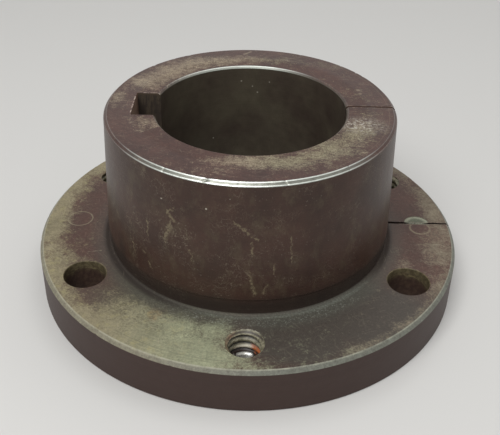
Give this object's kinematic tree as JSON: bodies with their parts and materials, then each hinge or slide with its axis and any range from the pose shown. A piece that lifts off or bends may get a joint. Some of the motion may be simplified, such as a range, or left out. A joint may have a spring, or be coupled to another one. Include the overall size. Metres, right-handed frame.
{
  "type": "split taper bush",
  "caption": "Flanged split taper bush with a keyed bore, for fixing a tapered hub, sheave or sprocket to a shaft.",
  "frame": {"origin": "centre of the flange's bottom face, on the bore axis", "axes": "+Z along the bore from the flange to the nose; the keyway lies at -X and the saw cut at +X"},
  "size_m": [0.1174, 0.1174, 0.0508],
  "materials": {
    "blackened_iron": "black oxide over turned iron, rubbed and worn grey-olive on the faces, bright on the edges"
  },
  "bodies": {
    "root": {"taper_bush": "blackened_iron"}
  },
  "joints": []
}
